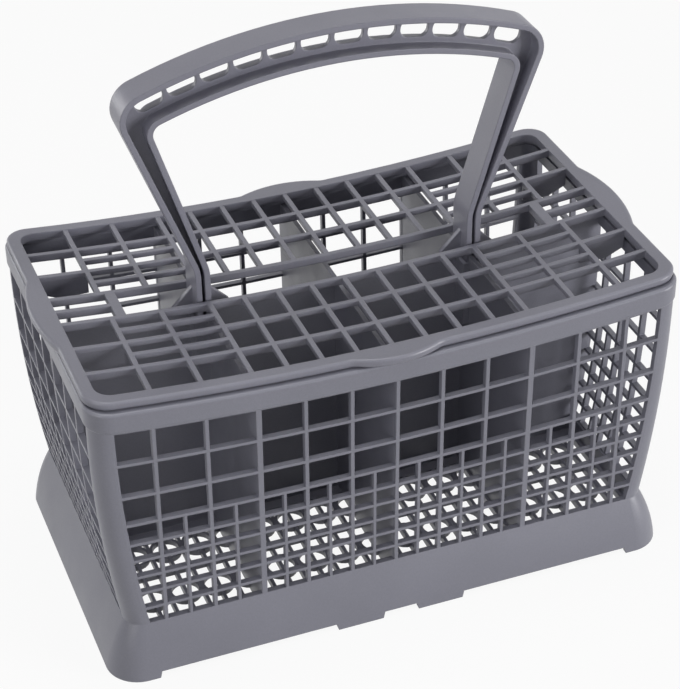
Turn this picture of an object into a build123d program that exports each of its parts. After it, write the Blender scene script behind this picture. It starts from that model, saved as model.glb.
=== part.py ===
from build123d import *

import math
import os

# Cutlery basket for a dishwasher, in millimetres: X along its length, Y across it, Z up.
# The origin is on the ground under its middle. The rim and the lid sag in the middle of their length.

# Basket, outer sizes
rim_length = 241.0
rim_depth = 136.4
rim_corner = 9.5
rim_bottom = 114.2
rim_band = 9.0
rim_wall = 2.4
rim_round = 1.2
ledge_thickness = 2.0
bow_rise = 6.4

# Basket, tapered lattice walls
wall_head_inset = 1.0
end_taper = 8.2
end_bulge = 2.4
side_taper = 3.5
wall_corner = 7.5
wall_thickness = 2.5
sill_height = 23.6
post_width_head = 8.3
post_width_foot = 9.0
end_post_width = 8.5
inner_columns = 3
outer_columns = 3
corner_window = 5.95
end_columns = 7
row_bar = 1.3
column_bar = 1.5
partition_bar = 2.2
thin_bar = 1.2
fine_rows = 5
fine_row_pitch = 7.84
middle_row_pitch = 9.3
coarse_row_pitch = 14.7

# Basket, skirt and feet
skirt_end_flare = 8.5
skirt_side_flare = 5.9
skirt_corner = 14.0
skirt_wall = 2.2
skirt_shoulder_height = 12.5
skirt_shoulder_out = 0.62
foot_gap = 15.5
foot_length = 19.45
corner_foot_length = 18.5
foot_height = 2.8
foot_slope = 0.8

# Basket, inside
partition_count = 3
partition_offset = 56.0
partition_thickness = 1.8
partition_drop = 6.5
central_wall_drop = 9.0
floor_drop = 7.6
floor_thickness = 3.0
floor_margin = 5.0
floor_strip = 11.4
floor_bar = 1.4
floor_column_pitch = 6.85
floor_columns = 31
floor_row_pitch = 27.4
floor_rows = 5

# Lid
lid_end_inset = 0.5
lid_side_inset = 2.2
lid_corner = 9.5
lid_inner_corner = 6.0
lid_thickness = 3.5
lid_lip = 1.2
lid_frame = 5.3
lid_clearance = 0.3
bar_width = 2.0
bar_drop = 0.3
shallow_bar_depth = 2.4
deep_bar_depth = 3.4
fine_columns = 4
wide_columns = 3
middle_row = 27.0
outer_row = 44.4
slot_setback = 6.1
slot_end_bar = 4.0
slot_side_gap = 1.4
slot_end_gap = 0.7
plate_depth = 10.0
plate_slant = 3.6
plate_level_share = 0.6
plate_thickness = 1.6
side_tab_length = 36.0
end_tab_length = 50.0
tab_out = 4.3
tab_round = 8.0

# Handle
handle_rise = 107.1
handle_arch_radius = 230.0
handle_arch_depth = 14.8
handle_corner = 11.4
handle_inner_corner = 4.5
handle_width = 13.8
handle_flange = 2.3
handle_web = 2.0
leg_width = 6.0
leg_offset = 1.2
leg_bend_rise = 14.0
leg_bend_round = 18.0
leg_head_width = 14.4
hole_count = 12
hole_end_inset = 0.5
hole_land = 1.8
hole_height = 7.1
hole_round = 3.3
hole_gap = 0.9
gusset_reach = 9.0
gusset_height = 11.0
socket_depth = 26.0
socket_wall = 1.6
socket_clearance = 0.3
foot_clearance = 0.3

# Heights and places that follow from the sizes above, at the middle of the length
rim_top = rim_bottom + rim_band
lid_top = rim_top + lid_clearance + lid_thickness
partition_top = lid_top - partition_drop
central_wall_top = lid_top - central_wall_drop
handle_top = lid_top + handle_rise
bow_radius = (rim_length**2 / 4 + bow_rise**2) / (2 * bow_rise)
wall_head_height = rim_bottom + bow_rise + rim_band / 2
wall_head_length = rim_length - 2 * wall_head_inset
wall_head_depth = rim_depth - 2 * wall_head_inset
wall_foot_length = rim_length - 2 * end_taper
wall_foot_depth = rim_depth - 2 * side_taper
skirt_length = wall_foot_length + 2 * skirt_end_flare
skirt_depth = wall_foot_depth + 2 * skirt_side_flare
floor_bottom = sill_height - floor_drop - floor_thickness
tub_length = wall_foot_length - 2 * skirt_wall
tub_depth = wall_foot_depth - 2 * skirt_wall
lid_length = rim_length - 2 * lid_end_inset
lid_depth = rim_depth - 2 * lid_side_inset
lid_inner_length = lid_length - 2 * lid_frame
lid_inner_depth = lid_depth - 2 * lid_frame
lid_fine_pitch = partition_offset / fine_columns
lid_wide_pitch = (lid_inner_length / 2 - partition_offset) / wide_columns
fine_centres = [i * lid_fine_pitch for i in range(fine_columns + 1)]
wide_centres = [partition_offset + i * lid_wide_pitch for i in range(1, wide_columns)]
slot_row = handle_width / 2 + slot_side_gap + bar_width / 2
slot_length = 2 * (wide_centres[-1] - slot_setback)

# Extents that are sure to pass right through the object
reach = rim_length + rim_depth
tall = handle_top + bow_rise


def bow(x):
    """Height that the sagging rim gains at x."""
    return bow_radius - math.sqrt(bow_radius**2 - x**2)


def bowed_band(low, high):
    """Solid between two sagging surfaces whose heights at the middle are low and high."""
    half = rim_length
    with BuildPart() as band:
        with BuildSketch(Plane.XZ):
            with BuildLine():
                bottom = ThreePointArc((-half, low + bow(half)), (0, low), (half, low + bow(half)))
                top = ThreePointArc((-half, high + bow(half)), (0, high), (half, high + bow(half)))
                Line(bottom @ 0, top @ 0)
                Line(bottom @ 1, top @ 1)
            make_face()
        extrude(amount=reach, both=True)
    return band.part


def wall_block(inset):
    """Block within the outer faces of the walls, its ends curved outwards, with an inset."""
    foot = wall_foot_length / 2 - inset
    head = wall_head_length / 2 - inset
    waist = (foot + head) / 2 + end_bulge
    waist_height = (sill_height + wall_head_height) / 2
    with BuildPart() as block:
        with BuildSketch(Plane.XZ):
            with BuildLine():
                right = ThreePointArc((foot, sill_height), (waist, waist_height), (head, wall_head_height))
                left = ThreePointArc((-foot, sill_height), (-waist, waist_height), (-head, wall_head_height))
                Line(left @ 0, right @ 0)
                Line(left @ 1, right @ 1)
            make_face()
        extrude(amount=reach, both=True)
        with BuildSketch(Plane.YZ):
            Polygon(
                (wall_foot_depth / 2 - inset, sill_height),
                (wall_head_depth / 2 - inset, wall_head_height),
                (inset - wall_head_depth / 2, wall_head_height),
                (inset - wall_foot_depth / 2, sill_height),
                align=None,
            )
        extrude(amount=reach, both=True, mode=Mode.INTERSECT)
        fillet(block.edges().group_by(Axis.Z)[1], radius=wall_corner - inset)
    return block.part


# Rows and columns of the lattice walls
fine_levels = [sill_height + i * fine_row_pitch for i in range(fine_rows + 1)]
fine_levels.append(fine_levels[-1] + middle_row_pitch)
coarse_levels = [rim_bottom - i * coarse_row_pitch for i in (2, 1, 0)]
coarse_levels.insert(0, fine_levels[-1])
inner_pitch = partition_offset / inner_columns
last_column = wall_foot_length / 2 - post_width_foot - corner_window - column_bar / 2
outer_pitch = (last_column - partition_offset) / (outer_columns - 1)
column_centres = [i * inner_pitch for i in range(inner_columns + 1)]
column_centres += [partition_offset + i * outer_pitch for i in range(1, outer_columns)]
column_centres = [-x for x in reversed(column_centres[1:])] + column_centres


def row_height(level, x):
    """Height at x of a row of the walls: the rows sag less and less towards the straight sill."""
    fade = (level - sill_height) / (rim_bottom - sill_height)
    return level + fade * bow(x)


def wall_half(level, foot, head, bulge):
    """Half the outer size of the tapered walls at a height."""
    share = (level - sill_height) / (wall_head_height - sill_height)
    return (foot + share * (head - foot)) / 2 + 4 * bulge * share * (1 - share)


def post_edge(level):
    """X of the edge of a corner post on the front wall."""
    share = (level - sill_height) / (rim_bottom - sill_height)
    width = post_width_foot + share * (post_width_head - post_width_foot)
    return wall_half(level, wall_foot_length, wall_head_length, end_bulge) - width


def bar_half_width(x):
    """Half the width of the upright bar at x: those that end a partition are thicker."""
    if math.isclose(abs(x), partition_offset):
        return partition_bar / 2
    return column_bar / 2


def halves(span):
    """Splits a window's span in two, with a thin bar between."""
    middle = (span[0] + span[1]) / 2
    return [(span[0], middle - thin_bar / 2), (middle + thin_bar / 2, span[1])]


def front_spans(level):
    """Left and right edges of the front windows at a level."""
    spans = [(-post_edge(level), column_centres[0] - bar_half_width(column_centres[0]))]
    for left, right in zip(column_centres, column_centres[1:]):
        spans.append((left + bar_half_width(left), right - bar_half_width(right)))
    spans.append((column_centres[-1] + bar_half_width(column_centres[-1]), post_edge(level)))
    return spans


def end_spans(level):
    """Front and rear edges of the end walls' windows at a level."""
    half = wall_half(level, wall_foot_depth, wall_head_depth, 0) - end_post_width
    pitch = (2 * half + column_bar) / end_columns
    starts = [i * pitch - half for i in range(end_columns)]
    return [(start, start + pitch - column_bar) for start in starts]


def split_spans(spans):
    """Halves every span but the first and the last."""
    inner = [half for span in spans[1:-1] for half in halves(span)]
    return [spans[0], *inner, spans[-1]]


def end_row_height(level, _y):
    """Height of a row where it runs along an end wall, the same at every y."""
    return row_height(level, wall_half(level, wall_foot_length, wall_head_length, end_bulge))


def window(low_span, high_span, low, high, height):
    """Outline of one window between the rows at two levels."""
    return Polygon(
        (low_span[0], height(low, low_span[0]) + row_bar / 2),
        (low_span[1], height(low, low_span[1]) + row_bar / 2),
        (high_span[1], height(high, high_span[1]) - row_bar / 2),
        (high_span[0], height(high, high_span[0]) - row_bar / 2),
        align=None,
        mode=Mode.PRIVATE,
    )


def windows(spans, height):
    """Outlines of all windows of a wall: whole columns above, halved columns in the fine rows."""
    outlines = []
    for low, high in zip(coarse_levels, coarse_levels[1:]):
        for low_span, high_span in zip(spans(low), spans(high)):
            outlines.append(window(low_span, high_span, low, high, height))
    for low, high in zip(fine_levels, fine_levels[1:]):
        for low_span, high_span in zip(split_spans(spans(low)), split_spans(spans(high))):
            outlines.append(window(low_span, high_span, low, high, height))
    return outlines


# Lattice walls with their corner posts
with BuildPart() as walls:
    add(wall_block(0))
    add(wall_block(wall_thickness), mode=Mode.SUBTRACT)
    add(bowed_band(-rim_bottom, rim_top - ledge_thickness), mode=Mode.INTERSECT)
    with BuildSketch(Plane.XZ.offset(-rim_depth)):
        add(windows(front_spans, row_height))
    extrude(amount=2 * rim_depth, mode=Mode.SUBTRACT)
    with BuildSketch(Plane.YZ.offset(-rim_length)):
        add(windows(end_spans, end_row_height))
    extrude(amount=2 * rim_length, mode=Mode.SUBTRACT)

# Rim band around the walls, with a ledge inside that carries the lid
with BuildPart() as rim:
    with BuildSketch():
        RectangleRounded(rim_length, rim_depth, rim_corner)
        offset(amount=-rim_wall, mode=Mode.SUBTRACT)
    extrude(amount=tall)
    add(bowed_band(rim_bottom, rim_top), mode=Mode.INTERSECT)
    fillet(rim.faces().sort_by(Axis.Z)[-1].outer_wire().edges(), radius=rim_round)

ledge_inner_length = lid_inner_length + 2 * bar_width
ledge_inner_depth = lid_inner_depth + 2 * bar_width
with BuildPart() as ledge:
    with BuildSketch():
        RectangleRounded(rim_length - rim_wall, rim_depth - rim_wall, rim_corner - rim_wall / 2)
        RectangleRounded(ledge_inner_length, ledge_inner_depth, lid_inner_corner, mode=Mode.SUBTRACT)
    extrude(amount=tall)
    add(bowed_band(rim_top - ledge_thickness, rim_top), mode=Mode.INTERSECT)


def skirt_block(inset):
    """Flared block under the walls, bulging at its shoulder, with an inset."""
    shoulder_length = wall_foot_length + skirt_shoulder_out * (skirt_length - wall_foot_length)
    shoulder_depth = wall_foot_depth + skirt_shoulder_out * (skirt_depth - wall_foot_depth)
    sections = (
        (skirt_length, skirt_depth, skirt_corner, 0),
        (shoulder_length, shoulder_depth, (skirt_corner + wall_corner) / 2, skirt_shoulder_height),
        (wall_foot_length, wall_foot_depth, wall_corner, sill_height + row_bar / 2),
    )
    with BuildPart() as block:
        for length, depth, corner, height in sections:
            with BuildSketch(Plane.XY.offset(height)):
                RectangleRounded(length - 2 * inset, depth - 2 * inset, corner - inset)
        loft()
    return block.part


# Skirt with feet on its long edges
foot_start = foot_gap / 2
foot_end = foot_start + foot_length
corner_foot = skirt_length / 2 - corner_foot_length
with BuildPart() as skirt:
    add(skirt_block(0))
    add(skirt_block(skirt_wall), mode=Mode.SUBTRACT)
    with BuildSketch(Plane.XZ):
        for start, end in ((-foot_start, foot_start), (foot_end, corner_foot), (-corner_foot, -foot_end)):
            Polygon(
                (start, 0),
                (end, 0),
                (end - foot_slope, foot_height),
                (start + foot_slope, foot_height),
                align=None,
            )
    extrude(amount=skirt_depth, both=True, mode=Mode.SUBTRACT)

# Tub inside the skirt, with the feet of the central wall and of the partitions
with BuildPart() as tub:
    with BuildSketch(Plane.XY.offset(floor_bottom)):
        RectangleRounded(tub_length + skirt_wall, tub_depth + skirt_wall, wall_corner - skirt_wall / 2)
        offset(amount=-skirt_wall, mode=Mode.SUBTRACT)
        with GridLocations(partition_offset, 0, partition_count, 1):
            Rectangle(partition_thickness, tub_depth)
        Rectangle(tub_length, partition_thickness)
    extrude(amount=sill_height - floor_bottom)

# Open floor of the tub: a margin, a strip under the central wall, and bars along and across
with BuildPart() as floor:
    with BuildSketch(Plane.XY.offset(floor_bottom)):
        RectangleRounded(tub_length, tub_depth, wall_corner - skirt_wall)
        RectangleRounded(
            wall_foot_length - 2 * floor_margin,
            wall_foot_depth - 2 * floor_margin,
            wall_corner - floor_margin,
            mode=Mode.SUBTRACT,
        )
        Rectangle(tub_length, floor_strip)
        with GridLocations(floor_column_pitch, 0, floor_columns, 1):
            Rectangle(floor_bar, tub_depth)
        with GridLocations(0, floor_row_pitch, 1, floor_rows):
            Rectangle(tub_length, floor_bar)
    extrude(amount=floor_thickness)

# Central wall, cross partitions and the two sockets for the handle's feet
socket_centre = partition_offset + leg_offset
socket_length = leg_width + 2 * socket_clearance
socket_width = handle_width + 2 * socket_clearance
socket_bottom = central_wall_top - socket_depth
with BuildPart() as partitions:
    with BuildSketch(Plane.XY.offset(sill_height)):
        with GridLocations(partition_offset, 0, partition_count, 1):
            Rectangle(partition_thickness, rim_depth)
    extrude(amount=tall)
    add(bowed_band(-rim_bottom, partition_top), mode=Mode.INTERSECT)

with BuildPart() as central_wall:
    with BuildSketch(Plane.XY.offset(sill_height)):
        Rectangle(rim_length, partition_thickness)
    extrude(amount=tall)
    add(bowed_band(-rim_bottom, central_wall_top), mode=Mode.INTERSECT)

with BuildPart() as basket:
    add(partitions.part)
    add(central_wall.part)
    with BuildSketch(Plane.XY.offset(socket_bottom - socket_wall)):
        with GridLocations(2 * socket_centre, 0, 2, 1):
            Rectangle(socket_length + 2 * socket_wall, socket_width + 2 * socket_wall)
    extrude(amount=socket_depth + socket_wall + bow(socket_centre))
    add(wall_block(wall_thickness / 2), mode=Mode.INTERSECT)
    with BuildSketch(Plane.XY.offset(socket_bottom)):
        with GridLocations(2 * socket_centre, 0, 2, 1):
            Rectangle(socket_length, socket_width)
    extrude(amount=tall, mode=Mode.SUBTRACT)
    add([tub.part, floor.part, skirt.part, walls.part, rim.part, ledge.part])


def finger_tab(length):
    """Outline of a finger tab: a shallow arc on a strip that reaches into the frame."""
    with BuildSketch() as tab:
        with BuildLine():
            arc = ThreePointArc((-length / 2, 0), (0, tab_out), (length / 2, 0))
            Polyline(arc @ 0, (-length / 2, -lid_frame / 2), (length / 2, -lid_frame / 2), arc @ 1)
        make_face()
    return tab.sketch


def is_tab_end(vertex):
    """Tells the corners where a finger tab leaves the lid's edge from the lid's own rounded corners."""
    on_side = math.isclose(abs(vertex.X), side_tab_length / 2, abs_tol=lid_clearance)
    on_end = math.isclose(abs(vertex.Y), end_tab_length / 2, abs_tol=lid_clearance)
    return on_side or on_end


# Lid frame with its four finger tabs
with BuildPart() as frame:
    with BuildSketch() as frame_plan:
        RectangleRounded(lid_length, lid_depth, lid_corner)
        for turn, edge, length in (
            (0, lid_depth / 2, side_tab_length),
            (90, lid_length / 2, end_tab_length),
            (180, lid_depth / 2, side_tab_length),
            (270, lid_length / 2, end_tab_length),
        ):
            with Locations(Location((0, 0, 0), (0, 0, turn)) * Location((0, edge, 0))):
                add(finger_tab(length))
        fillet(frame_plan.vertices().filter_by(is_tab_end), radius=tab_round)
        RectangleRounded(lid_inner_length, lid_inner_depth, lid_inner_corner, mode=Mode.SUBTRACT)
    extrude(amount=tall)
    add(bowed_band(lid_top - lid_thickness, lid_top), mode=Mode.INTERSECT)
    fillet(frame.faces().sort_by(Axis.Z)[-1].outer_wire().edges(), radius=lid_lip)

# Lid bars, from frame to frame
half_bar_length = lid_inner_depth / 2 - slot_row + bar_width / 2
half_bar_middle = (lid_inner_depth / 2 + slot_row + bar_width / 2) / 2
with BuildPart() as shallow_bars:
    with BuildSketch():
        for x in fine_centres + wide_centres:
            for side in (-1, 1):
                with Locations((side * x, half_bar_middle), (side * x, -half_bar_middle)):
                    Rectangle(bar_width, half_bar_length)
        with Locations((0, middle_row), (0, -middle_row)):
            Rectangle(lid_inner_length + bar_width, bar_width)
        half_rows = [(slot_row + middle_row) / 2, (middle_row + outer_row) / 2]
        half_row_middle = (partition_offset + wide_centres[-1]) / 2
        for y in half_rows:
            with GridLocations(2 * half_row_middle, 2 * y, 2, 2):
                Rectangle(wide_centres[-1] - partition_offset, bar_width)
    extrude(amount=tall)
    add(bowed_band(lid_top - shallow_bar_depth, lid_top - bar_drop), mode=Mode.INTERSECT)

stub_start = (slot_length + slot_end_bar) / 2
stub_end = (lid_inner_length + bar_width) / 2
with BuildPart() as deep_bars:
    with BuildSketch():
        for y in (slot_row, outer_row):
            with Locations((0, y), (0, -y)):
                Rectangle(lid_inner_length + bar_width, bar_width)
        with GridLocations(slot_length + slot_end_bar, 0, 2, 1):
            Rectangle(slot_end_bar, 2 * slot_row)
        with GridLocations(stub_start + stub_end, 0, 2, 1):
            Rectangle(stub_end - stub_start, bar_width)
    extrude(amount=tall)
    add(bowed_band(lid_top - deep_bar_depth, lid_top - bar_drop), mode=Mode.INTERSECT)

# Plates that hang under the middle rows in the end columns, their lower edge slanting up at the ends
plate_start = wide_centres[-1]
plate_end = lid_inner_length / 2
plate_knee = plate_start + plate_level_share * (plate_end - plate_start)
plate_low = lid_top + bow(plate_start) - plate_depth
bar_core = lid_top - shallow_bar_depth / 2
with BuildPart() as plates:
    for y in (middle_row, -middle_row):
        with BuildSketch(Plane.XZ.offset(-y)):
            for side in (-1, 1):
                Polygon(
                    (side * plate_start, bar_core + bow(plate_start)),
                    (side * plate_end, bar_core + bow(plate_end)),
                    (side * plate_end, plate_low + plate_slant),
                    (side * plate_knee, plate_low),
                    (side * plate_start, plate_low),
                    align=None,
                )
        extrude(amount=plate_thickness / 2, both=True)

with BuildPart() as lid:
    add([frame.part, shallow_bars.part, deep_bars.part, plates.part])

# Handle: one outline for arch and legs, hollowed from both sides to a web between flanges
leg_inner_foot = socket_centre - leg_width / 2
leg_outer_foot = socket_centre + leg_width / 2
leg_outer_corner = slot_length / 2 - slot_end_gap
leg_inner_corner = leg_outer_corner - leg_head_width
leg_bend_height = lid_top + leg_bend_rise
foot_bottom = socket_bottom + foot_clearance
arch_centre = handle_top - handle_arch_radius
inner_arch_radius = handle_arch_radius - handle_arch_depth


def arch_height(radius, x):
    """Height of an arc of the arch at x."""
    return arch_centre + math.sqrt(radius**2 - x**2)


def handle_region(foot_x, corner_x, radius, corner_round, grow):
    """Everything under one outline of the handle, from its foot line up to the arch, grown all round."""
    side = [(foot_x, foot_bottom), (foot_x, leg_bend_height), (corner_x, arch_height(radius, corner_x))]
    mirrored = [(-x, z) for x, z in side]
    with BuildSketch(Plane.XZ) as region:
        with BuildLine():
            Polyline(*side)
            Polyline(*mirrored)
            ThreePointArc(side[-1], (0, arch_centre + radius), mirrored[-1])
            Line(side[0], mirrored[0])
        make_face()
        fillet(region.vertices().group_by(Axis.Y)[1], radius=leg_bend_round)
        fillet(region.vertices().group_by(Axis.Y)[-1], radius=corner_round)
        if grow:
            offset(amount=grow, kind=Kind.INTERSECTION, mode=Mode.REPLACE)
    return region.sketch_local


def handle_plan(inset):
    """The handle's outline seen from the front, with an inset all round."""
    outer = handle_region(leg_outer_foot, leg_outer_corner, handle_arch_radius, handle_corner, -inset)
    inner = handle_region(leg_inner_foot, leg_inner_corner, inner_arch_radius, handle_inner_corner, inset)
    with BuildSketch(Plane.XZ) as plan:
        add(outer)
        add(inner, mode=Mode.SUBTRACT)
    return plan


# Gussets beside the feet, standing just clear of the central wall
gusset_foot = central_wall_top + bow(socket_centre + gusset_reach) + foot_clearance
hole_radius = handle_arch_radius - handle_flange - hole_gap - hole_height / 2
hole_pitch = 2 * (leg_inner_corner - hole_end_inset) / (hole_count - 1)
hole_length = hole_pitch - hole_land
hole_step = math.degrees(hole_pitch / hole_radius)
hole_range = hole_step * (hole_count - 1)
handle_outline = handle_plan(0).sketch
web_outline = handle_plan(handle_flange).sketch_local
with BuildPart() as handle:
    extrude(handle_outline, amount=handle_width / 2, both=True)
    for side in (-1, 1):
        with BuildSketch(Plane.XZ.offset(side * handle_web / 2)):
            add(web_outline)
        extrude(amount=side * handle_width, mode=Mode.SUBTRACT)
    with BuildSketch(Plane.XZ):
        with Locations((0, arch_centre)):
            with PolarLocations(hole_radius, hole_count, 90 - hole_range / 2, hole_range, endpoint=True):
                RectangleRounded(hole_height, hole_length, hole_round)
    extrude(amount=handle_web, both=True, mode=Mode.SUBTRACT)
    with BuildSketch(Plane.XZ):
        for side in (-1, 1):
            for leg_face, way in ((leg_inner_foot, -1), (leg_outer_foot, 1)):
                Polygon(
                    (side * leg_face, gusset_foot),
                    (side * (leg_face + way * gusset_reach), gusset_foot),
                    (side * (leg_face + way * gusset_reach), gusset_foot + handle_web),
                    (side * leg_face, gusset_foot + gusset_height),
                    (side * (leg_face - way * handle_flange), gusset_foot + gusset_height),
                    (side * (leg_face - way * handle_flange), gusset_foot),
                    align=None,
                )
    extrude(amount=handle_web / 2, both=True)

os.makedirs("parts", exist_ok=True)
basket.part.label = "basket"
lid.part.label = "lid"
handle.part.label = "handle"
export_step(basket.part, "parts/basket.step")
export_step(lid.part, "parts/lid.step")
export_step(handle.part, "parts/handle.step")
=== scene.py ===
import math

import bmesh
import bpy
from mathutils import Matrix, Vector


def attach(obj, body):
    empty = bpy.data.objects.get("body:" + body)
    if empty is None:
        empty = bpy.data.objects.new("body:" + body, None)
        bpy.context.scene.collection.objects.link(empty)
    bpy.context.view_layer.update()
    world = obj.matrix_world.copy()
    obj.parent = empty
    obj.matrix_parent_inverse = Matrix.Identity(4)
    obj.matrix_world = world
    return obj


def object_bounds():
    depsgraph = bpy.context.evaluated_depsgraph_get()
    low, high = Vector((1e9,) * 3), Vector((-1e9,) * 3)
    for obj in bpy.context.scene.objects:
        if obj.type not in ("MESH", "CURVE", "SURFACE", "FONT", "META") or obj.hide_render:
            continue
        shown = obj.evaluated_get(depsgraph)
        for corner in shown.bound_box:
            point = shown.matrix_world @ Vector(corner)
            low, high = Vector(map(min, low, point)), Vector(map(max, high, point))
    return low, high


# Dishwasher cutlery basket: finish, floor rings, studio and camera around the solids. Metres.
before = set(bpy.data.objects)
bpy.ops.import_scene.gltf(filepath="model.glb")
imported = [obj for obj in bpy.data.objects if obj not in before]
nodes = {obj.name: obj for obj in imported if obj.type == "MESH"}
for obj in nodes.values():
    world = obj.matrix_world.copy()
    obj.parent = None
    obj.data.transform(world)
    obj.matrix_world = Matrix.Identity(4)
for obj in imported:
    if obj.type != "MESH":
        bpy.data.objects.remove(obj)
cad_low, cad_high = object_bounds()

# Plastic colours, as linear values
BODY_GREY = (0.200, 0.200, 0.240)
LID_GREY = (0.203, 0.202, 0.244)
HANDLE_GREY = (0.203, 0.201, 0.245)

# Softened edges of the mouldings
BODY_EDGE = 0.0004
LID_EDGE = 0.0007
HANDLE_EDGE = 0.0007
EDGE_SAMPLES = 6

# Surface of the plastic: scale and detail of each noise, and the range that it is mapped to
CLOUDS = (22.0, 3.0)
CLOUD_SHADE = (0.95, 1.05)
SPECKLE = (1400.0, 1.0)
SPECKLE_SHADE = (0.97, 1.03)
GLOSS_PATCHES = (60.0, 4.0)
ROUGHNESS = (0.34, 0.46)
GRAIN = (1800.0, 2.0)
GRAIN_STRENGTH = 0.12
GRAIN_HEIGHT = 0.0002
NOISE_RANGE = (0.3, 0.7)
PLASTIC_IOR = 1.58

# Rings of the basket's floor
FLOOR_PITCH = 0.0137
FLOOR_LOW = 0.0133
FLOOR_HIGH = 0.0157
RING_RADIUS = 0.0061
RING_WALL = 0.0012
RING_SIDES = 24
RING_COLUMNS = range(-7, 8)
RING_ROWS = (-3, -1, 1, 3)

# Studio: floor, and lamps by name with place, size and power in watts
FLOOR_SIZE = 6.0
FLOOR_BOUNCED = 0.5
FLOOR_SHOWN = 0.8
FLOOR_GLOW = 0.92
OFF_AND_ON = (0.0, 1.0)
LAMPS = {
    "key": ((1.5, -1.35, 0.45), 0.8, 30.0),
    "left": ((-1.45, -1.0, 0.8), 1.2, 13.0),
    "back": ((-1.3, 1.55, 0.35), 0.8, 8.0),
    "top": ((0.0, 0.1, 2.0), 1.2, 17.0),
}

# Photograph's camera
IMAGE_WIDTH = 680
FOCAL_PIXELS = 2088.6
SENSOR_WIDTH = 36.0
CAMERA_PLACE = Vector((-0.24514, -0.66532, 0.57044))
CAMERA_AZIMUTH = math.radians(-20.331)
CAMERA_ELEVATION = math.radians(34.226)
CAMERA_ROLL = math.radians(-0.98)


def noise(tree, coordinates, scale, detail):
    """Noise texture that follows the object's own coordinates."""
    node = tree.nodes.new("ShaderNodeTexNoise")
    node.inputs["Scale"].default_value = scale
    node.inputs["Detail"].default_value = detail
    tree.links.new(coordinates, node.inputs["Vector"])
    return node.outputs["Fac"]


def remap(tree, value, source, target):
    """Maps a value from one range to another."""
    node = tree.nodes.new("ShaderNodeMapRange")
    node.inputs["From Min"].default_value, node.inputs["From Max"].default_value = source
    node.inputs["To Min"].default_value, node.inputs["To Max"].default_value = target
    tree.links.new(value, node.inputs["Value"])
    return node.outputs["Result"]


def multiply(tree, first, second):
    """Product of two values."""
    node = tree.nodes.new("ShaderNodeMath")
    node.operation = "MULTIPLY"
    tree.links.new(first, node.inputs[0])
    tree.links.new(second, node.inputs[1])
    return node.outputs["Value"]


def moulded_plastic(name, colour, edge):
    """Satin moulded plastic: cloudy shade, fine speckle, moulded grain and softened edges."""
    material = bpy.data.materials.new(name)
    material.use_nodes = True
    tree = material.node_tree
    shader = tree.nodes["Principled BSDF"]
    place = tree.nodes.new("ShaderNodeTexCoord").outputs["Object"]
    clouds = remap(tree, noise(tree, place, *CLOUDS), NOISE_RANGE, CLOUD_SHADE)
    speckle = remap(tree, noise(tree, place, *SPECKLE), NOISE_RANGE, SPECKLE_SHADE)
    shade = multiply(tree, clouds, speckle)
    tint = tree.nodes.new("ShaderNodeVectorMath")
    tint.operation = "SCALE"
    tint.inputs[0].default_value = colour
    tree.links.new(shade, tint.inputs["Scale"])
    tree.links.new(tint.outputs["Vector"], shader.inputs["Base Color"])
    gloss = remap(tree, noise(tree, place, *GLOSS_PATCHES), NOISE_RANGE, ROUGHNESS)
    tree.links.new(gloss, shader.inputs["Roughness"])
    shader.inputs["IOR"].default_value = PLASTIC_IOR
    bump = tree.nodes.new("ShaderNodeBump")
    bump.inputs["Strength"].default_value = GRAIN_STRENGTH
    bump.inputs["Distance"].default_value = GRAIN_HEIGHT
    tree.links.new(noise(tree, place, *GRAIN), bump.inputs["Height"])
    rounding = tree.nodes.new("ShaderNodeBevel")
    rounding.samples = EDGE_SAMPLES
    rounding.inputs["Radius"].default_value = edge
    tree.links.new(rounding.outputs["Normal"], bump.inputs["Normal"])
    tree.links.new(bump.outputs["Normal"], shader.inputs["Normal"])
    return material


def dress(node, material):
    """Gives a solid its finish."""
    node.data.materials.clear()
    node.data.materials.append(material)


def circle(mesh, centre, radius, height):
    """Corners of one level circle of a ring."""
    corners = []
    for i in range(RING_SIDES):
        angle = 2 * math.pi * i / RING_SIDES
        x = centre[0] + radius * math.cos(angle)
        y = centre[1] + radius * math.sin(angle)
        corners.append(mesh.verts.new((x, y, height)))
    return corners


def add_ring(mesh, centre):
    """Adds one upright ring of the floor to a mesh."""
    inner = RING_RADIUS - RING_WALL / 2
    outer = RING_RADIUS + RING_WALL / 2
    inner_low = circle(mesh, centre, inner, FLOOR_LOW)
    inner_high = circle(mesh, centre, inner, FLOOR_HIGH)
    outer_low = circle(mesh, centre, outer, FLOOR_LOW)
    outer_high = circle(mesh, centre, outer, FLOOR_HIGH)
    for first, second in (
        (outer_low, outer_high),
        (outer_high, inner_high),
        (inner_high, inner_low),
        (inner_low, outer_low),
    ):
        for i in range(RING_SIDES):
            after = (i + 1) % RING_SIDES
            mesh.faces.new((first[i], first[after], second[after], second[i]))


def floor_rings(material):
    """Rings of the moulded floor, on the bars of the solid."""
    mesh = bmesh.new()
    for column in RING_COLUMNS:
        for row in RING_ROWS:
            add_ring(mesh, (column * FLOOR_PITCH, row * FLOOR_PITCH))
    data = bpy.data.meshes.new("floor_rings")
    mesh.to_mesh(data)
    mesh.free()
    data.materials.append(material)
    rings = bpy.data.objects.new("floor_rings", data)
    bpy.context.scene.collection.objects.link(rings)
    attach(rings, "root")


def seen_directly(tree):
    """One for rays that show the background: camera, glossy and transmission rays."""
    path = tree.nodes.new("ShaderNodeLightPath")
    either = path.outputs["Is Camera Ray"]
    for name in ("Is Glossy Ray", "Is Transmission Ray"):
        larger = tree.nodes.new("ShaderNodeMath")
        larger.operation = "MAXIMUM"
        tree.links.new(either, larger.inputs[0])
        tree.links.new(path.outputs[name], larger.inputs[1])
        either = larger.outputs["Value"]
    return either


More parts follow.
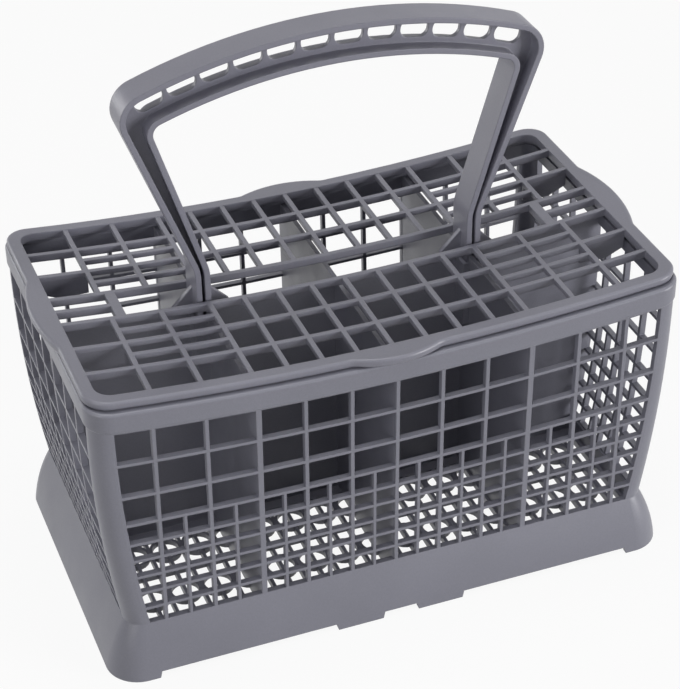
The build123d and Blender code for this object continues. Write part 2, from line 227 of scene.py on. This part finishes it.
def studio_floor():
    """Pale floor that is near white to the camera and keeps the object's shadow."""
    bpy.ops.mesh.primitive_plane_add(size=FLOOR_SIZE)
    floor = bpy.context.object
    floor.name = "studio_floor"
    material = bpy.data.materials.new("floor_white")
    material.use_nodes = True
    tree = material.node_tree
    tree.nodes.clear()
    diffuse = tree.nodes.new("ShaderNodeBsdfDiffuse")
    glow = tree.nodes.new("ShaderNodeEmission")
    mix = tree.nodes.new("ShaderNodeMixShader")
    output = tree.nodes.new("ShaderNodeOutputMaterial")
    share = tree.nodes.new("ShaderNodeMath")
    share.operation = "MULTIPLY"
    share.inputs[1].default_value = FLOOR_GLOW
    seen = seen_directly(tree)
    level = remap(tree, seen, OFF_AND_ON, (FLOOR_BOUNCED, FLOOR_SHOWN))
    tree.links.new(level, diffuse.inputs["Color"])
    tree.links.new(seen, share.inputs[0])
    tree.links.new(share.outputs["Value"], mix.inputs["Fac"])
    tree.links.new(diffuse.outputs["BSDF"], mix.inputs[1])
    tree.links.new(glow.outputs["Emission"], mix.inputs[2])
    tree.links.new(mix.outputs["Shader"], output.inputs["Surface"])
    floor.data.materials.append(material)


def studio_world():
    """White background where it is seen, with no light of its own on the object."""
    world = bpy.data.worlds.new("studio")
    world.use_nodes = True
    bpy.context.scene.world = world
    tree = world.node_tree
    background = tree.nodes["Background"]
    background.inputs["Color"].default_value = (1.0, 1.0, 1.0, 1.0)
    tree.links.new(seen_directly(tree), background.inputs["Strength"])


def soft_box(name, place, aim, size, power):
    """Square area lamp that faces a point."""
    light = bpy.data.lights.new(name, "AREA")
    light.shape = "SQUARE"
    light.size = size
    light.energy = power
    lamp = bpy.data.objects.new(name, light)
    lamp.location = place
    lamp.rotation_mode = "QUATERNION"
    lamp.rotation_quaternion = (aim - Vector(place)).to_track_quat("-Z", "Y")
    bpy.context.scene.collection.objects.link(lamp)


def photo_camera():
    """Camera at the photograph's place and angle."""
    level = math.cos(CAMERA_ELEVATION)
    forward = Vector((
        -math.sin(CAMERA_AZIMUTH) * level,
        math.cos(CAMERA_AZIMUTH) * level,
        -math.sin(CAMERA_ELEVATION),
    ))
    side = forward.cross(Vector((0.0, 0.0, 1.0))).normalized()
    rise = side.cross(forward)
    right = side * math.cos(CAMERA_ROLL) + rise * math.sin(CAMERA_ROLL)
    up = rise * math.cos(CAMERA_ROLL) - side * math.sin(CAMERA_ROLL)
    lens = bpy.data.cameras.new("photo_camera")
    lens.sensor_fit = "HORIZONTAL"
    lens.sensor_width = SENSOR_WIDTH
    lens.lens = FOCAL_PIXELS * SENSOR_WIDTH / IMAGE_WIDTH
    camera = bpy.data.objects.new("photo_camera", lens)
    turn = Matrix((right, up, -forward)).transposed().to_4x4()
    camera.matrix_world = Matrix.Translation(CAMERA_PLACE) @ turn
    bpy.context.scene.collection.objects.link(camera)
    bpy.context.scene.camera = camera


body_plastic = moulded_plastic("basket_plastic", BODY_GREY, BODY_EDGE)
dress(nodes["basket"], body_plastic)
dress(nodes["lid"], moulded_plastic("lid_plastic", LID_GREY, LID_EDGE))
dress(nodes["handle"], moulded_plastic("handle_plastic", HANDLE_GREY, HANDLE_EDGE))
floor_rings(body_plastic)

studio_floor()
studio_world()
middle = (cad_low + cad_high) / 2
for name, (place, size, power) in LAMPS.items():
    soft_box(name, place, middle, size, power)
photo_camera()

bpy.context.scene.view_settings.view_transform = "Standard"
